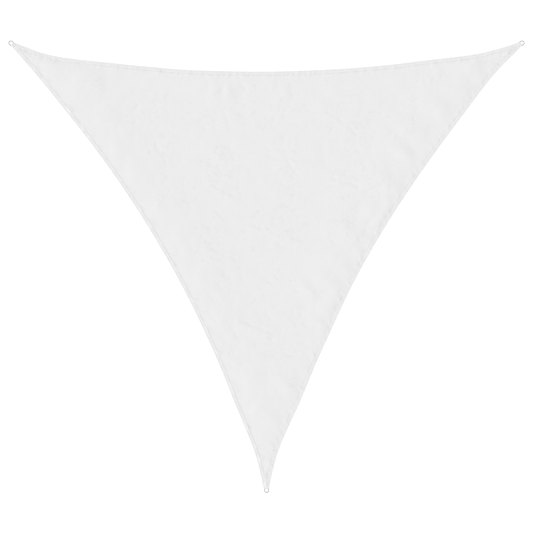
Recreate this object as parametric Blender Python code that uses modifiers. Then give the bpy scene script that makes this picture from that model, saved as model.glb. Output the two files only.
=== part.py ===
"""Triangular shade sail, lying flat on the ground with its top side towards +Y.

One hemmed cloth with three inward-curved sides. At each corner a webbing loop, sewn under the
cloth's narrow tip, holds a steel D-ring. Metres, +Z up, origin on the ground under the middle.
"""

import math

import bpy
import numpy as np

MM = 0.001

# Plan of the sail, between the centres of the rings' round ends.
TOP_SPAN = 3.580
DEPTH = 3.133
FOOT_X = 0.001

# Cloth: a single layer inside a turned hem of two.
CLOTH_THICK = 0.0015
HEM_THICK = 0.0030
HEM_WIDTH = 0.026
HEM_STEP = 0.002
LATTICE = 56
LATTICE_GRADING = 1.3

# Gathers beside the hem: they rise from its inner line and fall away towards the middle.
GATHER_RISE = 0.080
GATHER_FALL = 0.260
EASE_IN = 0.030

# D-ring: round wire, a straight bar, two short legs and a half-circle end.
WIRE_RADIUS = 0.0020
RING_RADIUS = 0.0142
RING_LEG = 0.0120
RING_BEND = 0.0030
RING_ARC_STEPS = 16
RING_BEND_STEPS = 3
WIRE_ROUNDNESS = 3

# Webbing loop: two plies under the tip, folded round the ring's bar.
PLY_THICK = 0.0013
GAP = 0.0003
STRAP_WIDTH = 0.0215
STRAP_END = 0.124
FLANK_END = 0.029
LOOP_STEPS = 12

# How finely the outline is measured: shares of a side, and how much of it counts as a corner.
SLOPE_STEP = 0.001
NUDGE = 0.00001
CORNER_SHARE = 0.12
CORNER_SAMPLES = 481
MEETING_GUESS = 0.025
MEETING_ROUNDS = 30
SHARP_ANGLE = 30.0

# What the loop's sizes add up to.
LOOP_INNER = WIRE_RADIUS + GAP
LOOP_OUTER = LOOP_INNER + PLY_THICK
PLIES_TOP = 2 * PLY_THICK + GAP
RING_LINE_Y = DEPTH / 2

# Corner: ring centre, way into the sail in degrees, ring centre to the cloth's end.
CORNERS = {
    "left": {"ring": (-TOP_SPAN / 2, RING_LINE_Y), "into": -37.5, "tip": 0.0150},
    "right": {"ring": (TOP_SPAN / 2, RING_LINE_Y), "into": -146.3, "tip": 0.0150},
    "foot": {"ring": (FOOT_X, RING_LINE_Y - DEPTH), "into": 90.6, "tip": 0.0145},
}

# Stations of the hem between the cloth's end and where the two hems part, from the ring centre.
TIP_STATIONS = (0.052, 0.040, 0.029, 0.021)

# Height of the cloth's underside over the webbing: (from the ring centre, height), both in mm.
TIP_LIFT = ((14.0, 7.4), (30.0, 3.3), (140.0, 3.3), (260.0, 0.0))

# Outline of each side: (share of the straight line between its rings, inset in mm).
TOP_SIDE = (
    (0.004, -5.9), (0.010, 2.6), (0.020, 16.7), (0.030, 30.7), (0.050, 58.0), (0.080, 87.6),
    (0.120, 111.2), (0.180, 134.3), (0.260, 163.5), (0.340, 187.5), (0.420, 197.5), (0.500, 200.8),
    (0.580, 193.0), (0.660, 178.3), (0.740, 153.4), (0.820, 118.8), (0.880, 93.8), (0.920, 71.7),
    (0.950, 45.2), (0.970, 24.7), (0.980, 12.3), (0.990, -1.0), (0.996, -9.1),
)
RIGHT_SIDE = (
    (0.004, -8.8), (0.010, -3.1), (0.020, 6.4), (0.030, 16.0), (0.050, 35.8), (0.080, 62.4),
    (0.120, 84.0), (0.180, 110.9), (0.260, 145.8), (0.340, 173.4), (0.420, 191.5), (0.500, 198.1),
    (0.580, 190.9), (0.660, 167.6), (0.740, 140.2), (0.820, 104.9), (0.880, 85.8), (0.920, 68.0),
    (0.950, 42.9), (0.970, 22.1), (0.980, 10.9), (0.990, -1.5), (0.996, -9.9),
)
LEFT_SIDE = (
    (0.004, -14.0), (0.010, -7.2), (0.020, 4.5), (0.030, 15.6), (0.050, 37.4), (0.080, 62.6),
    (0.120, 83.3), (0.180, 110.9), (0.260, 150.4), (0.340, 177.7), (0.420, 195.5), (0.500, 199.4),
    (0.580, 192.6), (0.660, 174.7), (0.740, 145.3), (0.820, 104.1), (0.880, 70.0), (0.920, 46.2),
    (0.950, 24.8), (0.970, 10.2), (0.980, 2.9), (0.990, -4.3), (0.996, -8.6),
)

# Height of the gathers beside each hem: (share of the side, height in mm).
TOP_GATHERS = (
    (0.05, 0.0), (0.14, 4.5), (0.19, 4.8), (0.26, 1.5), (0.35, 1.6), (0.43, 4.6), (0.48, 2.6),
    (0.52, 4.8), (0.58, 4.0), (0.62, 1.4), (0.66, 4.8), (0.71, 1.2), (0.78, 2.6), (0.84, 2.0),
    (0.90, 5.2), (0.95, 0.0),
)
RIGHT_GATHERS = (
    (0.04, 0.0), (0.08, 4.6), (0.12, 5.4), (0.155, 8.2), (0.19, 3.4), (0.225, 5.0), (0.256, 6.8),
    (0.29, 4.6), (0.33, 8.6), (0.39, 2.6), (0.44, 7.0), (0.515, 6.0), (0.555, 7.6), (0.60, 3.8),
    (0.66, 5.2), (0.73, 2.2), (0.777, 8.0), (0.81, 3.8), (0.85, 5.6), (0.90, 3.6), (0.95, 0.0),
)
LEFT_GATHERS = (
    (0.05, 0.0), (0.10, 4.0), (0.165, 7.6), (0.20, 5.2), (0.24, 8.4), (0.30, 4.6), (0.375, 7.0),
    (0.42, 4.6), (0.46, 8.6), (0.51, 4.8), (0.56, 7.4), (0.595, 4.6), (0.63, 7.6), (0.665, 4.6),
    (0.70, 7.2), (0.76, 7.0), (0.79, 4.6), (0.83, 7.2), (0.86, 4.8), (0.89, 8.0), (0.94, 6.0),
    (0.97, 0.0),
)

SIDES = (
    {"first": "left", "second": "right", "outline": TOP_SIDE, "gathers": TOP_GATHERS},
    {"first": "right", "second": "foot", "outline": RIGHT_SIDE, "gathers": RIGHT_GATHERS},
    {"first": "foot", "second": "left", "outline": LEFT_SIDE, "gathers": LEFT_GATHERS},
)

# Soft folds in the field: middle x, y in metres, half length, half width, turn in degrees, height.
FOLDS = (
    {"x": 0.085, "y": 0.230, "long": 0.300, "wide": 0.085, "turn": -18.0, "high": 0.0042},
    {"x": -0.310, "y": 0.520, "long": 0.220, "wide": 0.080, "turn": -26.0, "high": 0.0034},
    {"x": -0.330, "y": 0.070, "long": 0.200, "wide": 0.080, "turn": -24.0, "high": 0.0032},
    {"x": 0.480, "y": 1.060, "long": 0.330, "wide": 0.090, "turn": -40.0, "high": 0.0034},
    {"x": 0.560, "y": 0.600, "long": 0.220, "wide": 0.080, "turn": -16.0, "high": 0.0034},
    {"x": -0.070, "y": -0.440, "long": 0.240, "wide": 0.080, "turn": -22.0, "high": 0.0034},
    {"x": -0.660, "y": 1.000, "long": 0.190, "wide": 0.090, "turn": -12.0, "high": 0.0030},
    {"x": 0.310, "y": -0.170, "long": 0.130, "wide": 0.080, "turn": 20.0, "high": 0.0040},
)


def hump(value):
    """1 where value is 0, easing down to 0 where it is 1 or more either way."""
    reach = np.clip(np.abs(value), 0.0, 1.0)
    return 1.0 - reach * reach * (3.0 - 2.0 * reach)


def smooth_curve(rows, at):
    """Value at each place of a smooth curve through rows of (place, value)."""
    places, values = np.array(rows).T
    slopes = np.gradient(values, places)
    at = np.clip(at, places[0], places[-1])
    left = np.clip(np.searchsorted(places, at) - 1, 0, len(places) - 2)
    width = places[left + 1] - places[left]
    part = (at - places[left]) / width
    rest = 1.0 - part
    ends = values[left] * (1 + 2 * part) * rest**2 + values[left + 1] * (1 + 2 * rest) * part**2
    bends = slopes[left] * part * rest**2 - slopes[left + 1] * rest * part**2
    return ends + width * bends


def direction(degrees):
    turn = math.radians(degrees)
    return np.array([math.cos(turn), math.sin(turn)])


class Side:
    """One curved side, walked from its first corner to its second with the cloth on the right."""

    def __init__(self, first, second, outline, gathers):
        self.first = first
        self.second = second
        self.outline = outline
        self.gathers = gathers
        self.start = np.array(CORNERS[first]["ring"])
        chord = np.array(CORNERS[second]["ring"]) - self.start
        self.length = np.linalg.norm(chord)
        self.along = chord / self.length
        self.inward = np.array([self.along[1], -self.along[0]])

    def inset(self, share):
        return smooth_curve(self.outline, share) * MM

    def slope(self, share):
        rise = self.inset(share + SLOPE_STEP) - self.inset(share - SLOPE_STEP)
        return rise / (2 * SLOPE_STEP * self.length)

    def point(self, share, depth=0.0):
        """Point on the line that runs depth inside the outline."""
        share = np.asarray(share, dtype=float)[..., None]
        slope = self.slope(share)
        scale = depth / np.sqrt(1 + slope**2)
        forward = share * self.length - slope * scale
        return self.start + self.along * forward + self.inward * (self.inset(share) + scale)

    def share_and_depth(self, points):
        """Share of the side beside each point, and how far inside the outline it lies."""
        offset = points - self.start
        share = offset @ self.along / self.length
        level = offset @ self.inward - self.inset(share)
        return share, level / np.sqrt(1 + self.slope(share) ** 2)

    def share_at(self, corner, distance):
        """Share where the outline passes a distance from a corner's ring, along its axis."""
        spread = np.linspace(0.0, CORNER_SHARE, CORNER_SAMPLES)
        shares = spread if corner == self.first else 1.0 - spread
        axis = direction(CORNERS[corner]["into"])
        reach = (self.point(shares) - np.array(CORNERS[corner]["ring"])) @ axis
        return float(np.interp(distance, reach, shares))


def meeting_shares(before, after, depth):
    """Shares of two sides where their lines at one depth inside the outline cross."""
    shares = np.array([1.0 - MEETING_GUESS, MEETING_GUESS])
    for _ in range(MEETING_ROUNDS):
        on_before = before.point(shares[0], depth)
        on_after = after.point(shares[1], depth)
        before_way = (before.point(shares[0] + NUDGE, depth) - on_before) / NUDGE
        after_way = (after.point(shares[1] + NUDGE, depth) - on_after) / NUDGE
        ways = np.column_stack([before_way, -after_way])
        shares = shares - np.linalg.solve(ways, on_before - on_after)
    return shares


def ends_of_sides(sides, depth):
    """For each side, the shares where its line at a depth meets its neighbours' lines."""
    ends = [[0.0, 1.0] for _ in sides]
    for index, after in enumerate(sides):
        before_share, after_share = meeting_shares(sides[index - 1], after, depth)
        ends[index - 1][1] = before_share
        ends[index][0] = after_share
    return ends


def underside(sides, points):
    """Height of the cloth's underside at each point of the plan."""
    lift = np.zeros(len(points))
    for corner in CORNERS.values():
        reach = (points - np.array(corner["ring"])) @ direction(corner["into"])
        distances, heights = np.array(TIP_LIFT).T * MM
        lift = np.maximum(lift, np.interp(reach, distances, heights))

    measured = [side.share_and_depth(points) for side in sides]
    inside = [depth - HEM_WIDTH for _, depth in measured]
    relief = np.zeros(len(points))
    for index, side in enumerate(sides):
        height = smooth_curve(side.gathers, measured[index][0]) * MM
        rise = 1.0 - hump(inside[index].clip(0) / GATHER_RISE)
        fall = hump((inside[index] - GATHER_RISE).clip(0) / GATHER_FALL)
        others = [inside[other] for other in range(len(sides)) if other != index]
        room = 1.0 - hump(np.minimum(*others).clip(0) / GATHER_RISE)
        relief += height * rise * fall * room
    for fold in FOLDS:
        offset = points - np.array([fold["x"], fold["y"]])
        along = direction(fold["turn"])
        across = np.array([-along[1], along[0]])
        spread = np.hypot(offset @ along / fold["long"], offset @ across / fold["wide"])
        relief += fold["high"] * hump(spread)
    nearest = np.minimum.reduce(inside).clip(0)
    return lift + relief * (1.0 - hump(nearest / EASE_IN))


def graded(weights):
    """Shares of the three corners, drawn towards the sides so that the gathers get more faces."""
    weights = np.asarray(weights, dtype=float) ** LATTICE_GRADING
    return weights / weights.sum(axis=-1, keepdims=True)


def field_points(sides, ends, depth):
    """Triangular lattice stretched between the hem's three inner lines, row by row."""
    steps = [(row, column) for row in range(LATTICE + 1) for column in range(row + 1)]
    shares = graded([(LATTICE - row, row - column, column) for row, column in steps])
    left, right, foot = (shares[:, [index]] for index in range(3))

    def edge(index, part):
        low, high = ends[index]
        return sides[index].point(low + (high - low) * part[:, 0], depth)

    corners = [sides[index].point(ends[index][0], depth) for index in range(3)]
    from_left = edge(0, right) + edge(2, 1 - foot) - corners[0]
    from_right = edge(1, foot) + edge(0, 1 - left) - corners[1]
    from_foot = edge(2, left) + edge(1, 1 - right) - corners[2]
    return steps, left * from_left + right * from_right + foot * from_foot


def strip(outer, inner):
    """Faces between an outer row of points and the row inside it."""
    return [
        (outer[k], inner[k], inner[k + 1], outer[k + 1])
        for k in range(len(outer) - 1)
    ]


def sheet_layout(sides):
    """Plan of the cloth: its points, its faces and which of the points are on the hem."""
    hem_ends = ends_of_sides(sides, HEM_WIDTH)
    field_depth = HEM_WIDTH + HEM_STEP
    steps, field = field_points(sides, ends_of_sides(sides, field_depth), field_depth)
    number = {step: index for index, step in enumerate(steps)}
    points = list(field)
    faces = []
    for row in range(LATTICE):
        for column in range(row + 1):
            here = number[row, column]
            beyond = number[row + 1, column + 1]
            faces.append((here, beyond, number[row + 1, column]))
            if column < row:
                faces.append((here, number[row, column + 1], beyond))

    def add(new_points):
        first = len(points)
        points.extend(new_points)
        return list(range(first, len(points)))

    hem_from = len(points)
    fork, centre_line = {}, {}
    for index, side in enumerate(sides):
        corner = side.first
        fork[corner] = add([side.point(hem_ends[index][0], HEM_WIDTH)])[0]
        stations = TIP_STATIONS + (CORNERS[corner]["tip"],)
        pairs = [
            side.point(side.share_at(corner, reach)) + sides[index - 1].point(
                sides[index - 1].share_at(corner, reach))
            for reach in stations
        ]
        centre_line[corner] = add([pair / 2 for pair in pairs])

    places = graded([(LATTICE - k, k) for k in range(LATTICE + 1)])[:, 1]
    last = LATTICE
    field_rows = (
        [number[k, 0] for k in range(last + 1)],
        [number[last, k] for k in range(last + 1)],
        [number[k, k] for k in range(last, -1, -1)],
    )
    for index, side in enumerate(sides):
        low, high = hem_ends[index]
        shares = low + (high - low) * places
        middle = add(side.point(shares[1:-1], HEM_WIDTH))
        hem_row = [fork[side.first]] + middle + [fork[side.second]]
        faces += strip(hem_row, field_rows[index])

        start = [
            side.share_at(side.first, reach)
            for reach in (CORNERS[side.first]["tip"],) + TIP_STATIONS[::-1]
        ]
        end = [
            side.share_at(side.second, reach)
            for reach in TIP_STATIONS + (CORNERS[side.second]["tip"],)
        ]
        outline = add(side.point(np.concatenate([start, shares, end])))
        inner = centre_line[side.first][::-1] + hem_row + centre_line[side.second]
        faces += strip(outline, inner)
    return np.array(points), faces, range(hem_from, len(points))


def add_cloth(collection, material):
    sides = [Side(**row) for row in SIDES]
    plan, faces, hem_points = sheet_layout(sides)
    heights = underside(sides, plan)
    mesh = bpy.data.meshes.new("sail_cloth")
    mesh.from_pydata(np.column_stack([plan, heights]).tolist(), [], faces)
    mesh.materials.append(material)
    cloth = bpy.data.objects.new("sail_cloth", mesh)
    collection.objects.link(cloth)
    hem = cloth.vertex_groups.new(name="hem")
    hem.add(list(hem_points), 1.0, "REPLACE")
    solidify = cloth.modifiers.new("layers", "SOLIDIFY")
    solidify.thickness = HEM_THICK
    solidify.offset = 1.0
    solidify.vertex_group = hem.name
    solidify.thickness_vertex_group = CLOTH_THICK / HEM_THICK
    mesh.shade_smooth()
    mesh.set_sharp_from_angle(angle=math.radians(SHARP_ANGLE))
    return cloth


def arc(centre, radius, start, end, steps):
    """Points along an arc from one angle to another, in degrees."""
    turns = np.radians(np.linspace(start, end, steps + 1))
    return [(centre[0] + radius * math.cos(t), centre[1] + radius * math.sin(t)) for t in turns]


def ring_outline():
    """Centre line of the D, with the middle of its bar at 0, 0 and its round end towards -X."""
    corner = RING_RADIUS - RING_BEND
    return (
        arc((-RING_LEG, 0.0), RING_RADIUS, 90, 270, RING_ARC_STEPS)
        + arc((-RING_BEND, -corner), RING_BEND, -90, 0, RING_BEND_STEPS)
        + arc((-RING_BEND, corner), RING_BEND, 0, 90, RING_BEND_STEPS)
    )


def strap_outline():
    """Side view of the webbing: x from the ring centre into the sail, y up."""
    bar = np.array([RING_LEG, LOOP_OUTER])

    def tangent_angle(radius, level):
        """Angle on the loop where a straight flank down to the plies touches it."""
        away = np.array([FLANK_END, level]) - bar
        turn = math.atan2(away[1], away[0])
        return math.degrees(turn + math.acos(radius / np.linalg.norm(away)))

    outer_turn = tangent_angle(LOOP_OUTER, PLIES_TOP)
    inner_turn = tangent_angle(LOOP_INNER, PLIES_TOP - PLY_THICK)
    outside = arc(bar, LOOP_OUTER, 270, outer_turn, LOOP_STEPS)
    inside = arc(bar, LOOP_INNER, inner_turn, 270, LOOP_STEPS)
    return (
        [(STRAP_END, 0.0)]
        + outside
        + [(FLANK_END, PLIES_TOP), (STRAP_END, PLIES_TOP)]
        + [(STRAP_END, PLIES_TOP - PLY_THICK), (FLANK_END, PLIES_TOP - PLY_THICK)]
        + inside
        + [(STRAP_END, PLY_THICK)]
    )


def add_curve(collection, name, outline, material, dimensions):
    """Closed curve through the outline's points."""
    curve = bpy.data.curves.new(name, "CURVE")
    curve.dimensions = dimensions
    curve.render_resolution_u = 0
    spline = curve.splines.new("POLY")
    spline.points.add(len(outline) - 1)
    for point, (x, y) in zip(spline.points, outline):
        point.co = (x, y, 0.0, 1.0)
    spline.use_cyclic_u = True
    curve.materials.append(material)
    item = bpy.data.objects.new(name, curve)
    collection.objects.link(item)
    return item


def add_strap(collection, name, corner, material):
    strap = add_curve(collection, name, strap_outline(), material, "2D")
    strap.data.fill_mode = "BOTH"
    strap.data.extrude = STRAP_WIDTH / 2
    strap.location = (*corner["ring"], 0.0)
    strap.rotation_euler = (math.radians(90), 0.0, math.radians(corner["into"]))
    return strap


def add_ring(collection, name, corner, material):
    """D-ring with its bar in the webbing's loop and its round end leaning down to the ground."""
    ring = add_curve(collection, name, ring_outline(), material, "3D")
    ring.data.bevel_depth = WIRE_RADIUS
    ring.data.bevel_resolution = WIRE_ROUNDNESS
    bar = np.array(corner["ring"]) + direction(corner["into"]) * RING_LEG
    ring.location = (*bar, LOOP_OUTER)
    lean = math.asin((LOOP_OUTER - WIRE_RADIUS) / (RING_LEG + RING_RADIUS))
    ring.rotation_euler = (0.0, -lean, math.radians(corner["into"]))
    return ring


def add_material(name, colour, roughness, metallic):
    material = bpy.data.materials.new(name)
    material.use_nodes = True
    shader = material.node_tree.nodes["Principled BSDF"]
    shader.inputs["Base Color"].default_value = (*colour, 1.0)
    shader.inputs["Roughness"].default_value = roughness
    shader.inputs["Metallic"].default_value = metallic
    return material


def main():
    for item in list(bpy.data.objects):
        bpy.data.objects.remove(item, do_unlink=True)
    collection = bpy.data.collections.new("shade_sail")
    bpy.context.scene.collection.children.link(collection)

    cloth = add_material("off_white_cloth", (0.82, 0.82, 0.81), 0.85, 0.0)
    webbing = add_material("off_white_webbing", (0.80, 0.80, 0.79), 0.80, 0.0)
    steel = add_material("steel", (0.62, 0.62, 0.63), 0.28, 1.0)

    add_cloth(collection, cloth)
    for name, corner in CORNERS.items():
        add_strap(collection, f"corner_strap_{name}", corner, webbing)
        add_ring(collection, f"d_ring_{name}", corner, steel)


main()
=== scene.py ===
"""Triangular shade sail laid out flat and seen from straight above.

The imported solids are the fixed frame. Here the cloth becomes one thin woven sheet with turned,
stitched hems, gathers, puffs and creases; the corner loops become ribbed webbing; the D-rings
become polished wire. Metres, +Z up, top side towards +Y, origin on the ground under the middle.
"""

import math
import random
from functools import reduce

import bpy
import numpy as np
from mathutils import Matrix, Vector, noise
from mathutils.bvhtree import BVHTree
from mathutils.geometry import delaunay_2d_cdt


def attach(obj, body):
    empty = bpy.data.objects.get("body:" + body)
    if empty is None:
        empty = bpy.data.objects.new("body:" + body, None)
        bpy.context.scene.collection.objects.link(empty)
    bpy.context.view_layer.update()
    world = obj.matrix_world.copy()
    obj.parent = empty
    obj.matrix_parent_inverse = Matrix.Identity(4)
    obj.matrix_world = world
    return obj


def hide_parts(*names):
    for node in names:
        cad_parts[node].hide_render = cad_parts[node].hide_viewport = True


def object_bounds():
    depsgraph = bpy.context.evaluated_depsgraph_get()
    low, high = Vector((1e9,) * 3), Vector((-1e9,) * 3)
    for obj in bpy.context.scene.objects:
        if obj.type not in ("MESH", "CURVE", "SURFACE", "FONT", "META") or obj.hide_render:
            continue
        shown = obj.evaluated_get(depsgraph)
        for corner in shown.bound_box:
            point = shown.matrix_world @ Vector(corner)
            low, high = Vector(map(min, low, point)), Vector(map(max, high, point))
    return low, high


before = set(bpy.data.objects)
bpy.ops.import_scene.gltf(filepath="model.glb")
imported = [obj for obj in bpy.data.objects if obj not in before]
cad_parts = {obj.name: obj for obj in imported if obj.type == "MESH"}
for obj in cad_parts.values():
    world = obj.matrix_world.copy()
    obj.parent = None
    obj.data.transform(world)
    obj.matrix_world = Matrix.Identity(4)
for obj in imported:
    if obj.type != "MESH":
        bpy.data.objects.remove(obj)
cad_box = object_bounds()

MM = 0.001


def named(columns, *rows):
    """Rows of a table, each value under its column's name."""
    return [dict(zip(columns.split(), row)) for row in rows]


# ---- Plan of the sail: the same sizes as the solids have ----

TOP_SPAN = 3.580
DEPTH = 3.133
FOOT_X = 0.001
RING_LINE_Y = DEPTH / 2

# Corner: ring centre, way into the sail in degrees, ring centre to the cloth's end.
CORNERS = {
    "left": {"ring": (-TOP_SPAN / 2, RING_LINE_Y), "into": -37.5, "tip": 0.0150},
    "right": {"ring": (TOP_SPAN / 2, RING_LINE_Y), "into": -146.3, "tip": 0.0150},
    "foot": {"ring": (FOOT_X, RING_LINE_Y - DEPTH), "into": 90.6, "tip": 0.0145},
}

# Height of the cloth's underside over the webbing: (from the ring centre, height), both in mm.
TIP_LIFT = ((14.0, 7.4), (30.0, 3.3), (140.0, 3.3), (260.0, 0.0))

# Outline of each side: how far in from the straight line between its rings, in mm, at these
# shares of that line.
OUTLINE_SHARES = (
    0.004, 0.01, 0.02, 0.03, 0.05, 0.08, 0.12, 0.18, 0.26, 0.34, 0.42, 0.5, 0.58, 0.66, 0.74, 0.82,
    0.88, 0.92, 0.95, 0.97, 0.98, 0.99, 0.996,
)
TOP_INSETS = (
    -5.9, 2.6, 16.7, 30.7, 58.0, 87.6, 111.2, 134.3, 163.5, 187.5, 197.5, 200.8, 193.0, 178.3,
    153.4, 118.8, 93.8, 71.7, 45.2, 24.7, 12.3, -1.0, -9.1,
)
RIGHT_INSETS = (
    -8.8, -3.1, 6.4, 16.0, 35.8, 62.4, 84.0, 110.9, 145.8, 173.4, 191.5, 198.1, 190.9, 167.6, 140.2,
    104.9, 85.8, 68.0, 42.9, 22.1, 10.9, -1.5, -9.9,
)
LEFT_INSETS = (
    -14.0, -7.2, 4.5, 15.6, 37.4, 62.6, 83.3, 110.9, 150.4, 177.7, 195.5, 199.4, 192.6, 174.7,
    145.3, 104.1, 70.0, 46.2, 24.8, 10.2, 2.9, -4.3, -8.6,
)

# How finely the outline is measured.
SLOPE_STEP = 0.001
NUDGE = 0.00001
CORNER_SHARE = 0.12
CORNER_SAMPLES = 481
MEETING_GUESS = 0.025
MEETING_ROUNDS = 30
OVERSAMPLE = 4

# ---- Relief of the sheet ----
# Tables hold heights and depths in mm, where a depth is how far inside a side; single values are
# in metres unless they say otherwise.

# Height of the gathers beside each hem: (share of the side, height).
TOP_GATHERS = (
    (0.05, 0.0), (0.14, 4.5), (0.19, 4.8), (0.26, 1.5), (0.35, 1.6), (0.43, 4.6), (0.48, 2.6),
    (0.52, 4.8), (0.58, 4.0), (0.62, 1.4), (0.66, 4.8), (0.71, 1.2), (0.78, 2.6), (0.84, 2.0),
    (0.9, 5.2), (0.95, 0.0),
)
RIGHT_GATHERS = (
    (0.04, 0.0), (0.08, 4.6), (0.12, 5.4), (0.155, 8.2), (0.19, 3.4), (0.225, 5.0), (0.256, 6.8),
    (0.29, 4.6), (0.33, 8.6), (0.39, 2.6), (0.44, 7.0), (0.515, 6.0), (0.555, 7.6), (0.6, 3.8),
    (0.66, 5.2), (0.73, 2.2), (0.777, 8.0), (0.81, 3.8), (0.85, 5.6), (0.9, 3.6), (0.95, 0.0),
)
LEFT_GATHERS = (
    (0.05, 0.0), (0.1, 4.0), (0.165, 7.6), (0.2, 5.2), (0.24, 8.4), (0.3, 4.6), (0.375, 7.0),
    (0.42, 4.6), (0.46, 8.6), (0.51, 4.8), (0.56, 7.4), (0.595, 4.6), (0.63, 7.6), (0.665, 4.6),
    (0.7, 7.2), (0.76, 7.0), (0.79, 4.6), (0.83, 7.2), (0.86, 4.8), (0.89, 8.0), (0.94, 6.0),
    (0.97, 0.0),
)

# How far the gathers rise from the hem and fall again, the share of their height that is used, how
# much wider puffs grow inwards for each metre, the share of a crease that goes on beside the hem,
# and how far from the hem the field's relief starts.
GATHER_RISE = 0.120
GATHER_FALL = 0.360
GATHER_SHARE = 0.36
PUFF_FAN = 6.0
NEAR_HEM_SHARE = 0.5
EASE_IN = 0.030

# The three sides by their places in the list of sides, which are walked in this order.
TOP, RIGHT, LEFT = range(3)

# Soft swells in the field and, with a height under 0, hollows whose lit flank shows: middle x, y
# in metres, half length, half width, the way it runs in degrees, height.
SWELLS = (
    (0.085, 0.23, 300, 85, -18, 2.31), (-0.31, 0.52, 220, 80, -26, 1.87),
    (-0.33, 0.07, 200, 80, -24, 1.76), (0.48, 1.06, 330, 90, -40, 1.87),
    (0.56, 0.6, 220, 80, -16, 1.87), (-0.07, -0.44, 240, 80, -22, 1.87),
    (-0.66, 1.0, 190, 90, -12, 1.65), (0.435, -0.29, 130, 100, 62, 4.4),
    (0.835, 0.335, 150, 110, 60, 5.5), (1.42, 1.415, 200, 100, 22, 4.95),
    (0.64, 0.365, 130, 90, 62, -3.4), (0.25, -0.3, 120, 80, 62, -2.8),
    (-0.19, 1.215, 100, 70, 30, -2.0), (1.17, 0.96, 110, 70, 55, -2.4),
)

# Puffs beside each hem: share of the side, depth of the crest, half length along the side, width
# of the flank towards the hem and of the flank away from it, height.
PUFFS = {
    LEFT: (
        (0.921, 148, 85, 105, 220, 3.4), (0.932, 106, 75, 72, 150, 3.6),
        (0.957, 72, 45, 42, 60, 1.8), (0.857, 158, 100, 110, 230, 4.6),
        (0.783, 162, 95, 110, 230, 3.6), (0.723, 134, 80, 100, 230, 3.4),
        (0.66, 128, 95, 95, 230, 4.0), (0.583, 130, 85, 100, 230, 4.6),
        (0.511, 158, 95, 105, 250, 3.8), (0.417, 150, 110, 110, 250, 5.2),
        (0.33, 160, 80, 105, 230, 3.6), (0.205, 165, 110, 100, 160, 5.0),
        (0.148, 130, 60, 85, 110, 3.0),
    ),
    RIGHT: (
        (0.135, 104, 80, 80, 220, 3.4), (0.189, 156, 84, 84, 270, 6.8),
        (0.255, 190, 90, 105, 270, 2.8), (0.3, 160, 64, 84, 270, 6.6),
        (0.373, 152, 110, 110, 290, 6.8), (0.491, 176, 90, 105, 270, 5.0),
        (0.551, 92, 90, 70, 220, 3.0), (0.592, 116, 80, 90, 220, 4.4),
        (0.624, 250, 54, 76, 200, 4.4), (0.67, 94, 60, 70, 140, 2.4),
        (0.807, 128, 80, 90, 160, 5.4), (0.876, 110, 70, 76, 110, 3.6),
    ),
    TOP: (
        (0.15, 110, 130, 80, 110, 3.0), (0.4, 130, 60, 90, 90, 3.0), (0.424, 150, 50, 100, 80, 3.2),
        (0.535, 140, 55, 90, 90, 3.0), (0.63, 150, 85, 100, 110, 2.4), (0.835, 80, 50, 50, 70, 2.6),
        (0.905, 95, 70, 60, 60, 3.0),
    ),
}

# Small tucks that the sewing draws up over each hem's inner row, in the same columns.
TUCKS = {
    LEFT: (
        (0.058, 25, 34, 18, 34, 2.4), (0.125, 18, 38, 15, 22, 3.6), (0.212, 27, 40, 20, 36, 2.2),
        (0.278, 26, 46, 18, 36, 2.6), (0.329, 26, 40, 18, 30, 2.8), (0.389, 32, 36, 22, 34, 2.0),
        (0.47, 24, 34, 18, 24, 2.4), (0.561, 26, 44, 18, 30, 2.2), (0.597, 24, 36, 18, 22, 2.2),
        (0.63, 34, 30, 22, 30, 1.4), (0.689, 24, 40, 18, 22, 2.0), (0.738, 24, 30, 18, 24, 1.8),
        (0.766, 30, 38, 20, 38, 2.4), (0.788, 25, 34, 18, 30, 2.2), (0.831, 26, 44, 18, 36, 5.0),
        (0.872, 26, 38, 18, 28, 1.6), (0.898, 32, 36, 20, 30, 1.4), (0.93, 26, 36, 18, 34, 2.0),
    ),
    RIGHT: (
        (0.062, 58, 44, 40, 60, 2.6), (0.099, 50, 40, 36, 80, 1.6), (0.366, 64, 56, 44, 110, 4.2),
        (0.399, 60, 44, 40, 100, 2.4), (0.509, 66, 44, 40, 100, 2.0), (0.55, 62, 48, 42, 110, 2.2),
        (0.609, 52, 40, 36, 90, 1.2), (0.669, 66, 44, 42, 110, 2.4), (0.803, 62, 44, 42, 80, 2.4),
        (0.92, 58, 40, 40, 60, 2.2),
    ),
    TOP: (
        (0.05, 27, 36, 20, 30, 2.2), (0.076, 30, 32, 20, 30, 1.8), (0.173, 27, 32, 20, 26, 1.6),
        (0.205, 28, 32, 20, 30, 1.6), (0.251, 27, 40, 20, 26, 1.8), (0.29, 27, 34, 20, 26, 2.2),
        (0.344, 27, 34, 20, 26, 2.2), (0.388, 34, 34, 24, 36, 2.4), (0.454, 27, 34, 20, 26, 1.8),
        (0.501, 28, 30, 20, 30, 1.4), (0.55, 36, 32, 24, 36, 1.6), (0.575, 34, 32, 24, 34, 1.8),
        (0.67, 27, 30, 20, 26, 1.4), (0.707, 27, 38, 20, 28, 2.6), (0.79, 27, 32, 20, 30, 1.8),
        (0.83, 34, 32, 24, 36, 2.4), (0.883, 27, 32, 20, 26, 1.6), (0.908, 36, 36, 26, 36, 2.8),
    ),
}
TUCK_EASE = 0.010
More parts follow.
